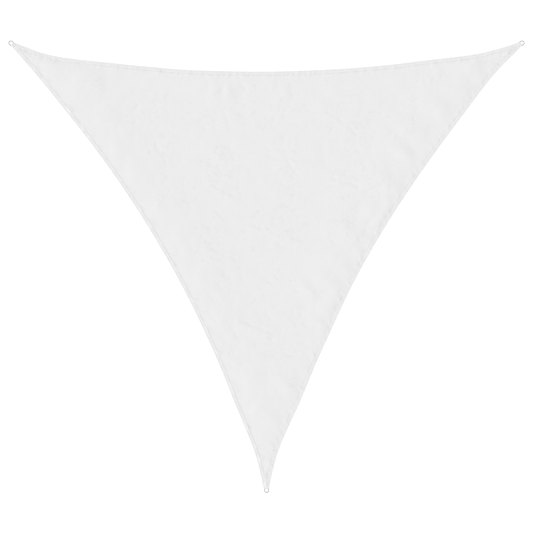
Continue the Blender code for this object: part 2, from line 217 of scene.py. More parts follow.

# Creases in the field: from x, y to x, y in metres, bow to the left of that way, width of the
# shaded flank and of the lit one, height (under 0 for a trough) and how much painted shade darkens
# the cloth along it.
CREASE_COLUMNS = "from_x from_y to_x to_y bow steep soft high tone"
CREASES = named(
    CREASE_COLUMNS,
    (-0.18, 0.322, 0.345, 0.16, -14, 16, 20, -2.8, 0.9),
    (-0.46, 0.6, -0.17, 0.452, 10, 14, 26, -2.2, 0.8),
    (-0.425, 0.47, -0.25, 0.3, -12, 13, 26, -2.0, 0.8),
    (-0.5, 0.15, -0.33, 0.098, 12, 12, 24, -1.8, 0.7),
    (-0.345, 0.085, -0.195, 0.016, 24, 12, 24, -2.0, 0.8),
    (-0.27, -0.352, 0.09, -0.5, 10, 14, 24, -2.2, 0.9),
    (0.38, 0.636, 0.72, 0.528, 8, 13, 26, -2.0, 0.8),
    (0.29, 1.136, 0.74, 0.782, 52, 15, 30, -2.0, 0.8),
    (0.04, -0.572, 0.24, -0.622, -22, 13, 26, -1.8, 0.8),
    (0.25, -0.42, 0.38, -0.432, 6, 12, 24, -1.5, 0.6),
    (-0.07, 0.79, 0.1, 0.736, 6, 13, 26, -1.6, 0.7), (0.8, 1.2, 0.815, 1.07, 4, 11, 24, -1.4, 0.6),
    (0.06, 1.15, 0.33, 1.09, -16, 14, 28, -1.9, 0.7),
    (-0.64, 0.64, -0.76, 0.42, 18, 14, 28, -1.9, 0.7),
    (-0.83, 0.9, -0.7, 0.76, -10, 12, 26, -1.5, 0.7),
    (0.48, 0.02, 0.33, -0.16, 18, 13, 28, -1.8, 0.7),
    (-0.12, -0.06, 0.12, -0.15, -10, 12, 24, 1.4, 0.2),
    (-0.06, 1.08, -0.33, 1.0, 12, 13, 26, 1.3, 0.2),
    (1.47, 1.446, 1.61, 1.444, 4, 45, 45, -0.8, 0.5),
    (1.495, 1.428, 1.6, 1.43, 6, 13, 16, -2.6, 1.5),
    (1.56, 1.437, 1.644, 1.396, 6, 12, 16, -2.8, 1.9),
    (1.48, 1.462, 1.56, 1.474, -3, 12, 20, -1.6, 1.2),
    (1.63, 1.492, 1.655, 1.446, 3, 12, 18, -1.8, 1.3),
)

# Straight lines left where the sail was folded for packing.
PACKING_LINES = named(
    CREASE_COLUMNS,
    (-1.04, 1.004, 0.98, 1.012, 0, 8, 12, -0.9, 0.45),
    (-0.722, 1.14, -0.718, 0.42, 0, 8, 12, -0.5, 0.4),
    (0.188, 0.7, 0.192, -0.12, 0, 8, 12, -0.45, 0.3),
    (-0.56, 0.338, 0.64, 0.344, 0, 8, 12, -0.5, 0.25),
    (-0.268, 0.98, -0.264, 0.02, 0, 8, 14, -0.5, 0.25),
)

# Share of a crease over which each end fades, how its two flanks curve, and how wide beside its
# steep flank the painted shade is. A long crease comes and goes: how far apart in metres, and how
# strong it is. Strengths that come and go are (mean, spread, least, greatest), here and below.
CREASE_FADE = 0.25
STEEP_CURVE = 1.5
SOFT_CURVE = 1.9
CREASE_DARK = 0.8
CREASE_BREAK = 0.045
CREASE_STRENGTH = (0.55, 1.8, 0.1, 1.4)

# Where the cloth is crinkled: middle x, y and half sizes in metres, the way most of the short
# creases run in degrees, how many they are before CRINKLE_MANY multiplies them, and how deep.
CRINKLE_PATCHES = named(
    "x y half_x half_y turn count deep",
    (-0.734, 0.845, 0.08, 0.42, 95, 53, 1.0), (-0.847, 0.996, 0.21, 0.09, -8, 22, 1.0),
    (-0.866, 1.165, 0.13, 0.08, -20, 12, 0.9), (-0.396, 1.09, 0.18, 0.19, -15, 34, 0.9),
    (0.018, 1.127, 0.25, 0.18, -28, 53, 1.1), (-0.32, 0.657, 0.15, 0.2, -48, 46, 1.1),
    (-0.538, 0.526, 0.06, 0.2, 92, 12, 0.9), (0.131, 0.714, 0.11, 0.27, 82, 40, 1.0),
    (0.582, 0.996, 0.19, 0.25, -52, 56, 1.0), (0.958, 1.052, 0.2, 0.15, -25, 25, 0.9),
    (1.15, 1.32, 0.14, 0.07, 88, 12, 0.9), (0.695, 0.582, 0.28, 0.14, -25, 43, 1.1),
    (-0.358, 0.187, 0.15, 0.17, -30, 40, 1.1), (-0.283, -0.189, 0.08, 0.2, 90, 19, 0.9),
    (0.093, 0.244, 0.26, 0.19, -28, 53, 1.1), (0.582, 0.262, 0.16, 0.24, -60, 31, 1.0),
    (-0.283, -0.565, 0.075, 0.19, -75, 19, 1.0), (0.074, -0.339, 0.19, 0.34, -30, 53, 1.1),
    (0.131, -0.79, 0.12, 0.15, -20, 16, 1.0), (-1.185, 1.278, 0.19, 0.05, -10, 12, 0.9),
    (0.0, 0.56, 0.85, 0.62, -30, 71, 0.6),
)

# Draws of the crinkles: seed, how many times the count above, length in metres, spread of the way
# in degrees, share that crosses it, bow as a share of the length, widths of the two flanks in mm,
# and ranges of depth and of painted shade.
CRINKLE_SEED = 41
CRINKLE_MANY = 1.4
CRINKLE_LENGTH = (0.010, 0.062)
CRINKLE_TURN = 24.0
CRINKLE_CROSSING = 0.24
CRINKLE_BOW = 0.14
CRINKLE_STEEP = (9.0, 14.0)
CRINKLE_SOFT = (13.0, 24.0)
CRINKLE_DEEP = (0.25, 0.95)
CRINKLE_PAINTED_SHADE = (0.5, 1.7)

# Way to the light on the plan, which the steep flank of a trough turns from.
LIGHT_WAY = (-1.0, -0.2)

# All-over crumple: size in metres, height in mm, seed. Size of the patches where it is stronger
# or weaker, and how strong. Its pillows: how steep, and how far their troughs lie under 0.
CRUMPLE = ((0.125, 1.25, 3.7), (0.058, 0.7, 8.1), (0.036, 0.22, 5.3))
CRUMPLE_PATCH = 0.42
CRUMPLE_STRENGTH = (0.75, 0.9, 0.15, 1.6)
PILLOW_STEEP = 2.2
PILLOW_SUNK = 0.45
FIELD_LIFT = 0.0012

# How uneven the hem is between its sewn rows and just inside them: (pitch in metres, share of its
# height). How far in that reaches, how soon it stops at a corner, the limits of the share, the
# height in mm that it leaves alone, and how far its ridges lean along the side as they run in.
HEM_UNEVEN = ((0.027, 1.7), (0.080, 1.5))
HEM_REACH = 0.120
HEM_CORNER = 0.020
HEM_LIMITS = (0.15, 2.5)
HEM_FLOOR = 1.0
HEM_LEAN = 0.55
HEM_SEED = 11.0
HEM_SEED_INSIDE = 5.0

# Puckers that lift the hem's inner side: (pitch in metres, part), the depth they start at, how far
# they reach inwards, mean, spread and greatest height in mm. Longer waves lift the whole hem.
PUCKERS = ((0.062, 1.0), (0.027, 1.1))
PUCKER_FOOT = 0.0045
PUCKER_REACH = 0.050
PUCKER_BASE = 0.9
PUCKER_HIGH = 3.4
PUCKER_TOP = 3.2
HEM_WAVE_PITCH = 0.150
HEM_WAVE_HIGH = 0.9
HEM_WAVE_STRENGTH = (0.0, 2.0, 0.0, 1.0)

# ---- Section of the sheet ----

# Field of the cloth, width of the hem, and the rolled edge: how wide and how high its middle is.
CLOTH_THICK = 0.0008
HEM_WIDTH = 0.026
EDGE_ROLL = 0.0012
EDGE_MIDDLE = 0.0010

# Depth of the two sewn rows, and the darker line along them, painted shade of the step and puckers
# there with the thread holes: its middle, width and shade, how far apart it comes and goes, and how
# strong it is. The corner seams and bar tacks get the same painted shade.
OUTER_ROW = 0.0080
INNER_ROW = 0.0255
SEAM_MIDDLE = 0.0272
SEAM_WIDE = 0.0068
OUTER_WIDE = 0.0040
OUTER_SHADE = 0.20
SEAM_PATCH = 0.060
SEAM_STRENGTH = (1.0, 2.6, 0.1, 2.4)
SEAM_SEED = 3.0
CORNER_SEAM_WIDE = 0.0036
CORNER_SEAM_SHADE = 0.4
PASS_SHADE = 0.2

# Rows across the hem: (depth, top, underside), all in mm.
HEM_SECTION = (
    (1.2, 2.00, 0.00), (3.0, 2.35, 0.00), (5.4, 2.25, 0.00), (8.0, 1.65, 0.35), (10.8, 1.75, 0.00),
    (14.0, 1.70, 0.00), (18.5, 1.90, 0.00), (22.0, 1.85, 0.00), (25.5, 1.10, 0.20),
    (28.5, 1.05, 0.20), (32.0, 1.30, 0.45), (37.0, 1.45, 0.60), (46.0, 1.50, 0.70),
    (62.0, 1.50, 0.70), (90.0, 1.10, 0.30), (120.0, 0.80, 0.00), (150.0, 0.80, 0.00),
)

# Where the two hems lie over each other at a tip.
OVERLAP_HIGH = 0.0007
OVERLAP_EDGE = 0.0025

# How far inside the outline the mesh has a line of points, in mm.
TOP_LINES = (
    0.0, 0.3, 1.2, 3.0, 5.6, 7.2, 8.0, 8.8, 11.5, 15.5, 19.5, 23.0, 25.4, 27.6, 30.5, 35.0, 42.0,
    51.0,
)
UNDER_LINES = (0.4, 1.3, 6.6, 8.0, 9.4, 24.0, 25.5, 27.0, 34.0)

# Distances between the mesh's points: along those lines, in the field and along each crease. They
# are smaller within TIP_REACH of a ring. A crease's rows are placed by shares of its flanks.
TOP_SPACING = 0.0064
UNDER_SPACING = 0.0220
TIP_SPACING = 0.0030
TIP_REACH = 0.150
TIP_PATCH = 1.5 * TIP_REACH
SPACING_GROWTH = 0.06
TOP_LATTICE = 0.0126
UNDER_LATTICE = 0.0300
TIP_LATTICE = 0.0030
CREASE_STEP = 0.0090
CREASE_SPACING = 0.003
CREASE_SPAN = (0.02, 0.98)
FEWEST_POINTS = 3
CREASE_ROWS = (0.0, 0.5, 1.0, -0.4)

# What the triangulation keeps, and how close two of its points may be.
INSIDE_ONLY = 1
MERGE_DISTANCE = 0.0000001

# The underside's clearance below the top, the rounds that lower it, and the depth it starts at.
CLEAR_GAP = 0.0004
CLEAR_ROUNDS = 8
CLEAR_FROM = 0.0230

# ---- Sewing ----

STITCH_PITCH = 0.0042
STITCH_LENGTH = 0.0036
THREAD_RADIUS = 0.00036
STITCH_SINK = 0.00008
SEAM_GROOVE = 0.00030
SEAM_GROOVE_WIDE = 0.0026
SEAM_PASS_GAP = 0.0011


def crossed_box(near, far, half):
    """Seams of a box with its two diagonals."""
    return (
        (near, -half, far, -half), (far, -half, far, half), (far, half, near, half),
        (near, half, near, -half), (near, -half, far, half), (near, half, far, -half),
    )


# Corner seams run in the corner's own axes, from the ring centre inwards and across: (from reach,
# from across, to reach, to across) in mm, and how many times each seam is run.
CORNER_SEAMS = {
    "left": {"passes": 1, "lines": crossed_box(62, 118, 8.6) + ((33, -13, 33, 14),)},
    "right": {"passes": 2, "lines": crossed_box(68, 116, 17) + ((27, -13, 27, 11),)},
    "foot": {"passes": 1, "lines": crossed_box(84, 120, 7.5)},
}

# Bar tacks across a hem where its sewing was joined: side, share and depth of one end in mm,
# share and depth of the other, and how many runs lie side by side.
HEM_TACKS = (
    (RIGHT, 0.0611, 9.0, 0.0599, 40.0, 4),
    (RIGHT, 0.9206, 7.0, 0.9249, 37.0, 5),
    (RIGHT, 0.0400, 22.0, 0.0437, 33.0, 3),
)

# ---- Webbing loops and D-rings: the same sizes as the solids have ----

WIRE_RADIUS = 0.0020
RING_RADIUS = 0.0142
RING_LEG = 0.0120
RING_BEND = 0.0030
WIRE_SIDES = 24
WIRE_STEP = 0.0009
ROUND_STEPS = 96
BEND_STEPS = 16
WELD_HIGH = 0.00012
WELD_WIDE = 0.0016

PLY_THICK = 0.0013
GAP = 0.0003
STRAP_WIDTH = 0.0215
STRAP_END = 0.124
FLANK_END = 0.029
LOOP_MIDDLE = WIRE_RADIUS + GAP + PLY_THICK / 2
LOOP_OUTER = WIRE_RADIUS + GAP + PLY_THICK
LOOP_STEPS = 48
STRAP_STEP = 0.0007
RIB_PITCH = 0.0024
RIB_HIGH = 0.00010
PICK_PITCH = 0.0021
PICK_HIGH = 0.00005
STRAP_POINTS_ACROSS = 37
STRAP_EDGE = 0.25
STRAP_EDGE_POWER = 14

# ---- Picture: what the camera frames, the light and the ground ----

FRAME_WIDTH = 3.733
FRAME_CENTRE = (0.0004, 0.0013)
LENS = 80.0
SENSOR = 36.0

SKY = 1.0
SUN_POWER = 1.37
SUN_SPREAD = 38.0
SUN_HEIGHT = 28.0
SUN_FROM = 191.0
FLOOR_RADIUS = 14.0
FLOOR_SIDES = 96
FLOOR_GREY = 0.10
FLOOR_GLOW = 0.905
WHITE = (1.0, 1.0, 1.0, 1.0)


# ---- Helpers ----


def hump(value):
    """1 where value is 0, easing down to 0 where it is 1 or more either way."""
    reach = np.clip(np.abs(value), 0.0, 1.0)
    return 1.0 - reach * reach * (3.0 - 2.0 * reach)


def ease(value):
    """0 up to 0, 1 from 1, smooth between."""
    return 1.0 - hump(np.clip(value, 0.0, 1.0))


def smooth_curve(rows, at):
    """Value at each place of a smooth curve through rows of (place, value)."""
    places, values = np.array(rows).T
    slopes = np.gradient(values, places)
    at = np.clip(at, places[0], places[-1])
    left = np.clip(np.searchsorted(places, at) - 1, 0, len(places) - 2)
    width = places[left + 1] - places[left]
    part = (at - places[left]) / width
    rest = 1.0 - part
    ends = values[left] * (1 + 2 * part) * rest**2 + values[left + 1] * (1 + 2 * rest) * part**2
    bends = slopes[left] * part * rest**2 - slopes[left + 1] * rest * part**2
    return ends + width * bends


def direction(degrees):
    """The way on the plan that an angle points."""
    turn = math.radians(degrees)
    return np.array([math.cos(turn), math.sin(turn)])


def left_of(way):
    """The same way turned a quarter to the left."""
    return np.stack([-way[..., 1], way[..., 0]], axis=-1)


def unit(way):
    """The same way, one metre long."""
    return way / np.linalg.norm(way, axis=-1, keepdims=True)


def turn_of(first, second):
    """Over 0 where the second way turns left from the first: twice the area between them."""
    return first[:, 0] * second[:, 1] - first[:, 1] * second[:, 0]


def run_along(line):
    """How far along a line each of its points lies."""
    return np.concatenate([[0.0], np.cumsum(np.linalg.norm(np.diff(line, axis=0), axis=1))])


def walk(line, at):
    """The places at some distances along a line."""
    run = run_along(line)
    return np.column_stack([np.interp(at, run, values) for values in line.T])


def off_line(points, start, end):
    """How far points are from the straight line between two places."""
    way = end - start
    part = np.clip((points - start) @ way / (way @ way), 0.0, 1.0)
    return np.linalg.norm(points - start - part[:, None] * way, axis=1)


def noise_at(*columns):
    """Smooth noise from -1 to 1 at rows of three numbers, given as their columns."""
    places = np.column_stack(np.broadcast_arrays(*columns))
    return np.array([noise.noise(Vector(place)) for place in places.tolist()])


def patchy(strength, *columns):
    """Smooth noise from a strength's mean, spread, least and greatest."""
    mean, spread, least, greatest = strength
    return np.clip(mean + spread * noise_at(*columns), least, greatest)


# ---- Outline ----


def corner_axes(corner):
    """Ring centre, the way into the sail and the way across it to the left."""
    into = direction(CORNERS[corner]["into"])
    return np.array(CORNERS[corner]["ring"]), into, left_of(into)


def reach_into(corner, points):
    """How far points lie into the sail from a corner's ring centre."""
    ring, into, _ = corner_axes(corner)
    return (points - ring) @ into


class Side:
    """One curved side, walked from its first corner to its second with the cloth on the right."""

    def __init__(self, first, second, insets, gathers):
        self.first = first
        self.outline = list(zip(OUTLINE_SHARES, insets))
        self.gathers = gathers
        self.start = np.array(CORNERS[first]["ring"])
        chord = np.array(CORNERS[second]["ring"]) - self.start
        self.length = np.linalg.norm(chord)
        self.along = chord / self.length
        self.inward = -left_of(self.along)

    def inset(self, share):
        return smooth_curve(self.outline, share) * MM

    def slope(self, share):
        rise = self.inset(share + SLOPE_STEP) - self.inset(share - SLOPE_STEP)
        return rise / (2 * SLOPE_STEP * self.length)

    def point(self, share, depth=0.0):
        """Point on the line that runs depth inside the outline."""
        share = np.asarray(share, dtype=float)[..., None]
        slope = self.slope(share)
        scale = depth / np.sqrt(1 + slope**2)
        forward = share * self.length - slope * scale
        return self.start + self.along * forward + self.inward * (self.inset(share) + scale)

    def share_and_depth(self, points):
        """Share of the side beside each point, and how far inside the outline it lies."""
        offset = points - self.start
        share = offset @ self.along / self.length
        level = offset @ self.inward - self.inset(share)
        return share, level / np.sqrt(1 + self.slope(share) ** 2)

    def share_at(self, corner, distance, depth=0.0):
        """Share where the line at a depth is a distance into the sail from a corner's ring."""
        spread = np.linspace(0.0, CORNER_SHARE, CORNER_SAMPLES)
        shares = spread if corner == self.first else 1.0 - spread
        reach = reach_into(corner, self.point(shares, depth))
        return float(np.interp(distance, reach, shares))


sides = [
    Side("left", "right", TOP_INSETS, TOP_GATHERS),
    Side("right", "foot", RIGHT_INSETS, RIGHT_GATHERS),
    Side("foot", "left", LEFT_INSETS, LEFT_GATHERS),
]


def meeting_shares(before, after, depth):
    """Shares of two sides where their lines at one depth inside the outline cross."""
    shares = np.array([1.0 - MEETING_GUESS, MEETING_GUESS])
    for _ in range(MEETING_ROUNDS):
        on_before = before.point(shares[0], depth)
        on_after = after.point(shares[1], depth)
        before_way = (before.point(shares[0] + NUDGE, depth) - on_before) / NUDGE
        after_way = (after.point(shares[1] + NUDGE, depth) - on_after) / NUDGE
        ways = np.column_stack([before_way, -after_way])
        shares = shares - np.linalg.solve(ways, on_before - on_after)
    return shares


def corner_stop(before, after, depth):
    """Shares where two sides' lines stop at their corner, and whether the tip's end is between."""
    corner = after.first
    reach = CORNERS[corner]["tip"] + depth
    shares = (before.share_at(corner, reach, depth), after.share_at(corner, reach, depth))
    _, _, across = corner_axes(corner)
    gap = (after.point(shares[1], depth) - before.point(shares[0], depth)) @ across
    if gap > TIP_SPACING:
        return shares, True
    return meeting_shares(before, after, depth), False


def spaced_shares(side, start, end, spacing):
    """Shares along a side, a spacing apart and closer together near its two tips."""
    fine = np.linspace(start, end, OVERSAMPLE * round(side.length / spacing))
    from_end = np.minimum(fine - start, end - fine) * side.length
    room = TIP_SPACING + SPACING_GROWTH * np.maximum(from_end - TIP_REACH, 0.0)
    density = 1.0 / np.minimum(room, spacing)
    count = np.concatenate([[0.0], np.cumsum((density[1:] + density[:-1]) / 2)])
    total = count[-1] * (fine[1] - fine[0]) * side.length
    return np.interp(np.linspace(0.0, count[-1], round(total) + 1), count, fine)


def closed_line(depth, spacing):
    """Closed line of points at one depth inside the whole outline, the tips' ends included."""
    stops = [corner_stop(sides[index - 1], side, depth) for index, side in enumerate(sides)]
    line = []
    for index, side in enumerate(sides):
        (_, start), _ = stops[index]
        (end, start_of_next), cut = stops[(index + 1) % len(sides)]
        line.append(side.point(spaced_shares(side, start, end, spacing), depth)[:-1])
        last = side.point(end, depth)
        if cut:
            following = sides[(index + 1) % len(sides)].point(start_of_next, depth)
            steps = max(1, round(np.linalg.norm(following - last) / TIP_SPACING))
            line.append(last + (following - last) * (np.arange(steps) / steps)[:, None])
    return np.concatenate(line)


# ---- Height of the sheet ----


def line_frame(row):
    """Start of a line, the way to its end, its left, and 1 if its shaded flank is there or -1."""
    start = np.array([row["from_x"], row["from_y"]])
    way = np.array([row["to_x"], row["to_y"]]) - start
    left = left_of(unit(way))
    shaded_left = (left @ LIGHT_WAY > 0) == (row["high"] < 0)
    return start, way, left, 1 if shaded_left else -1


def bow_at(row, part):
    """How far to the left a bowed line runs, at places from 0 to 1 along it."""
    return row["bow"] * MM * 4 * part * (1 - part)


def crinkle_lines():
    """The short creases of every crinkled patch, always the same ones."""
    chance = random.Random(CRINKLE_SEED)
    lines = []
    for patch in CRINKLE_PATCHES:
        for _ in range(round(CRINKLE_MANY * patch["count"])):
            out, turn = math.sqrt(chance.random()), chance.uniform(0, 2 * math.pi)
            x = patch["x"] + patch["half_x"] * out * math.cos(turn)
            y = patch["y"] + patch["half_y"] * out * math.sin(turn)
            low, high = CRINKLE_LENGTH
            half = (low + (high - low) * chance.random() ** 2) / 2
            way = patch["turn"] + chance.gauss(0, CRINKLE_TURN)
            if chance.random() < CRINKLE_CROSSING:
                way += 90
            along = half * direction(way)
            bow = chance.uniform(-CRINKLE_BOW, CRINKLE_BOW) * 2 * half / MM
            steep, soft = chance.uniform(*CRINKLE_STEEP), chance.uniform(*CRINKLE_SOFT)
            deep = patch["deep"] * chance.uniform(*CRINKLE_DEEP)
            # How much painted shade this crinkle gives the cloth.
            tone = patch["deep"] * chance.uniform(*CRINKLE_PAINTED_SHADE)
            ends = (x - along[0], y - along[1], x + along[0], y + along[1])
            lines += named(CREASE_COLUMNS, (*ends, bow, steep, soft, -deep, tone))
    return lines


field_lines = CREASES + PACKING_LINES + crinkle_lines()


def crease_height(points):
    """Height and painted shade that all the creases give each point."""
    height, dark = np.zeros((2, len(points)))
    for row in field_lines:
        start, way, left, shaded = line_frame(row)
        length = np.linalg.norm(way)
        reach = length / 2 + (row["soft"] + abs(row["bow"])) * MM
        near = np.flatnonzero(np.max(np.abs(points - (start + way / 2)), axis=1) < reach)
        offset = points[near] - start
        part = offset @ way / (way @ way)
        off = shaded * (offset @ left - bow_at(row, part))
        wide = np.where(off > 0, row["steep"], row["soft"]) * MM
        curve = np.where(off > 0, STEEP_CURVE, SOFT_CURVE)
        level = np.clip(1.0 - np.abs(off) / wide, 0.0, 1.0) ** curve
        fade = ease(part / CREASE_FADE) * ease((1 - part) / CREASE_FADE)
        if length > 2 * CREASE_BREAK:
            place = (part * length / CREASE_BREAK, row["from_x"], row["from_y"])
            fade = fade * patchy(CREASE_STRENGTH, *place)
        height[near] += row["high"] * MM * level * fade
        # Painted shade beside the steep flank, carried to the cloth's colour.
        line = hump(off / (CREASE_DARK * row["steep"] * MM))
        dark[near] = np.maximum(dark[near], row["tone"] * line * fade)
    return height, dark


def crumple_height(points):
    """Low pillows between thin troughs, stronger in some patches than in others."""
    height = np.zeros(len(points))
    for size, high, seed in CRUMPLE:
        pillows = np.abs(noise_at(*points.T / size, seed)) * PILLOW_STEEP - PILLOW_SUNK
        height += high * MM * patchy(CRUMPLE_STRENGTH, *points.T / CRUMPLE_PATCH, -seed) * pillows
    return height


def puff_height(measured, table):
    """Height of the puffs or tucks beside all the hems."""
    height = np.zeros(len(measured[0][0]))
    for index, rows in table.items():
        share, depth = measured[index]
        for middle, crest, long, rise, fall, high in rows:
            past = depth - crest * MM
            run = (share - middle) * sides[index].length
            along = run / (long * MM * (1.0 + PUFF_FAN * past.clip(0)))
            flank = np.maximum(-past / (rise * MM), past / (fall * MM))
            height += high * MM * hump(along) * hump(flank)
    return height


def gather_height(measured, inside):
    """Height of the soft gathers that rise inside each hem and fade into the field."""
    height = np.zeros(len(inside[0]))
    for index, side in enumerate(sides):
        crest = smooth_curve(side.gathers, measured[index][0]) * MM
        rise = ease(inside[index] / GATHER_RISE)
        fall = hump((inside[index] - GATHER_RISE).clip(0) / GATHER_FALL)
        others = [inside[other] for other in range(len(sides)) if other != index]
        room = ease(np.minimum(*others) / GATHER_RISE)
        height += GATHER_SHARE * crest * rise * fall * room
    return height


def swell_height(points):
    """Height of the oval swells and hollows in the field."""
    height = np.zeros(len(points))
    for x, y, long, wide, turn, high in SWELLS:
        offset, along = points - np.array([x, y]), direction(turn)
        oval = np.hypot(offset @ along / long, offset @ left_of(along) / wide)
        height += high * MM * hump(oval / MM)
    return height


def hem_unevenness(measured, nearest):
    """How full the hem is beside its usual section, and the waves and puckers that lift it."""
    full, lift = np.ones(len(nearest)), np.zeros(len(nearest))
    for index, side in enumerate(sides):
        share, depth = measured[index]
        beside = hump(depth / HEM_REACH) * hump((depth - nearest) / HEM_CORNER)
        near = np.flatnonzero(beside > 0)
        depth, beside = depth[near], beside[near]
        run = share[near] * side.length
        leant = run + HEM_LEAN * (depth - INNER_ROW).clip(0)
        seed = HEM_SEED * (index + 1)
        level = np.where(depth < INNER_ROW, seed, seed + HEM_SEED_INSIDE)
        for count, (pitch, part) in enumerate(HEM_UNEVEN):
            full[near] += part * noise_at(leant / pitch, level, level + count) * beside
        wave = patchy(HEM_WAVE_STRENGTH, run / HEM_WAVE_PITCH, seed, -seed)
        pucker = sum(part * noise_at(leant / pitch, -seed, pitch) for pitch, part in PUCKERS)
        pucker = np.clip(PUCKER_BASE + PUCKER_HIGH * pucker, 0.0, PUCKER_TOP)
        rise = np.clip((depth - PUCKER_FOOT) / (INNER_ROW - PUCKER_FOOT), 0.0, 1.0)
        fall = hump((depth - INNER_ROW).clip(0) / PUCKER_REACH)
        lift[near] += (HEM_WAVE_HIGH * wave + pucker * rise * fall) * MM * beside
    return full.clip(*HEM_LIMITS), lift


def seam_lines():
    """Every corner seam and bar tack, as (start, end, passes) on the plan."""
    lines = []
    for corner, seams in CORNER_SEAMS.items():
        ring, into, across = corner_axes(corner)
        for from_reach, from_across, to_reach, to_across in seams["lines"]:
            start = ring + (into * from_reach + across * from_across) * MM
            end = ring + (into * to_reach + across * to_across) * MM
            lines.append((start, end, seams["passes"]))
    for side_index, from_share, from_depth, to_share, to_depth, passes in HEM_TACKS:
        start = sides[side_index].point(from_share, from_depth * MM)
        end = sides[side_index].point(to_share, to_depth * MM)
        lines.append((start, end, passes))
    return lines


def groove_depth(points):
    """How far the corner seams and bar tacks draw the cloth down."""
    depth = np.zeros(len(points))
    for start, end, _ in seam_lines():
        groove = hump(off_line(points, start, end) / SEAM_GROOVE_WIDE)
        depth = np.maximum(depth, SEAM_GROOVE * groove)
    return depth


def sheet_heights(points):
    """Top, underside, depth inside the outline and the creases' painted shade at each point of the
    plan.
    """
    measured = [side.share_and_depth(points) for side in sides]
    nearest = np.minimum.reduce([depth for _, depth in measured])
    lift, overlap = np.zeros((2, len(points)))
    distances, heights = np.array(TIP_LIFT).T * MM
    for index, side in enumerate(sides):
        reach = reach_into(side.first, points)
        lift = np.maximum(lift, np.interp(reach, distances, heights))
        nearest = np.minimum(nearest, reach - CORNERS[side.first]["tip"])
        both = np.maximum(measured[index][1], measured[index - 1][1])
        overlap = np.maximum(overlap, ease((HEM_WIDTH - both) / OVERLAP_EDGE))

    inside = [(depth - HEM_WIDTH).clip(0) for _, depth in measured]
    field = np.minimum.reduce(inside)
    relief = gather_height(measured, inside) + swell_height(points) + puff_height(measured, PUFFS)
    creases, dark = crease_height(points)
    fine = (1 - NEAR_HEM_SHARE) * creases + crumple_height(points) + FIELD_LIFT
    full, wave = hem_unevenness(measured, nearest)
    relief = relief * ease(field / EASE_IN) + fine * ease(field / (2 * EASE_IN))
    relief = relief + NEAR_HEM_SHARE * creases * ease(nearest / INNER_ROW - 1)
    tucks = puff_height(measured, TUCKS) * ease(nearest / TUCK_EASE)
    relief = np.maximum(relief + wave + tucks, 0.0)

    nearest = nearest.clip(0)
    rows = np.array(HEM_SECTION)
    top = smooth_curve(rows[:, :2], nearest / MM)
    top = np.where(top > HEM_FLOOR, HEM_FLOOR + (top - HEM_FLOOR) * full, top) * MM
    under = np.maximum(smooth_curve(rows[:, ::2], nearest / MM) * MM, 0.0)
    roll = np.sqrt(1.0 - (1.0 - np.clip(nearest / EDGE_ROLL, 0.0, 1.0)) ** 2)
    top = np.where(nearest < EDGE_ROLL, EDGE_MIDDLE + (top - EDGE_MIDDLE) * roll, top)
    under = np.where(nearest < EDGE_ROLL, EDGE_MIDDLE * (1.0 - roll), under)
    top = top + OVERLAP_HIGH * overlap * ease(nearest / (2 * EDGE_ROLL)) - groove_depth(points)
    top = np.maximum(top, under + np.minimum(CLOTH_THICK, nearest / 2))
    return lift + relief + top, lift + relief + under, nearest, dark * ease(nearest / INNER_ROW - 1)


def on_sheet(points, up):
    """Points of the plan, raised to the sheet's top or, with up under 0, to its underside."""
    top, under, _, _ = sheet_heights(points)
    return np.column_stack([points, top if up > 0 else under])


# ---- Mesh of the sheet ----


def lattice(spacing, low, high):
    """Even triangular lattice over a rectangle."""
    row_step = spacing * math.sqrt(3) / 2
    rows = np.arange(low[1], high[1], row_step)
    columns = np.arange(low[0], high[0], spacing)
    x, y = np.meshgrid(columns, rows)
    x = x + (np.arange(len(rows)) % 2)[:, None] * spacing / 2
    return np.column_stack([x.ravel(), y.ravel()])


def plan_depth(points):
    """Depth inside the nearest side or tip's end, and distance from the nearest ring."""
    depths = [side.share_and_depth(points)[1] for side in sides]
    depths += [reach_into(corner, points) - sizes["tip"] for corner, sizes in CORNERS.items()]
    to_rings = [np.linalg.norm(points - sizes["ring"], axis=1) for sizes in CORNERS.values()]
    return np.minimum.reduce(depths), np.minimum.reduce(to_rings)


def crease_points():
    """Rows of points that let the mesh bend sharply along each crease."""
    points = []
    for row in field_lines:
        start, way, left, shaded = line_frame(row)
        count = max(FEWEST_POINTS, round(math.hypot(*way) / CREASE_STEP))
        part = np.linspace(*CREASE_SPAN, count)
        for step in CREASE_ROWS:
            flank = row["steep"] if step > 0 else row["soft"]
            off = bow_at(row, part) + shaded * step * flank * MM
            points.append(start + way * part[:, None] + left * off[:, None])
    return np.concatenate(points)


def without_close(points, keep_off, distance):
    """Points that are not within a distance of any of the others, found on a grid."""
    cells = {tuple(cell) for cell in np.floor(keep_off / distance).astype(int).tolist()}
    around = [(x, y) for x in (-1, 0, 1) for y in (-1, 0, 1)]
    own = np.floor(points / distance).astype(int).tolist()
    near = [any((x + dx, y + dy) in cells for dx, dy in around) for x, y in own]
    return points[~np.array(near)]


def thinned(points, distance):
    """One point for each cell of a grid."""
    cells = np.floor(points / distance).astype(int)
    _, first = np.unique(cells, axis=0, return_index=True)
    return points[np.sort(first)]


def in_field(points, lines, spacing):
    """Those points that lie inside the innermost of the mesh's lines and away from the tips."""
    depth, from_tip = plan_depth(points)
    return points[(depth > max(lines) * MM + spacing / 2) & (from_tip > TIP_REACH)]


def field_points(lines, spacing):
    """Even points over the field."""
    low, high = np.array(cad_box)[:, :2]
    return in_field(lattice(spacing, low, high), lines, spacing)


def tip_points():
    """Finer points near each ring, inside the outer sewn row."""
    points = []
    for sizes in CORNERS.values():
        ring = np.array(sizes["ring"])
        patch = lattice(TIP_LATTICE, ring - TIP_PATCH, ring + TIP_PATCH)
        depth, from_tip = plan_depth(patch)
        points.append(patch[(depth > OUTER_ROW + TIP_LATTICE) & (from_tip < TIP_REACH)])
    return np.concatenate(points)


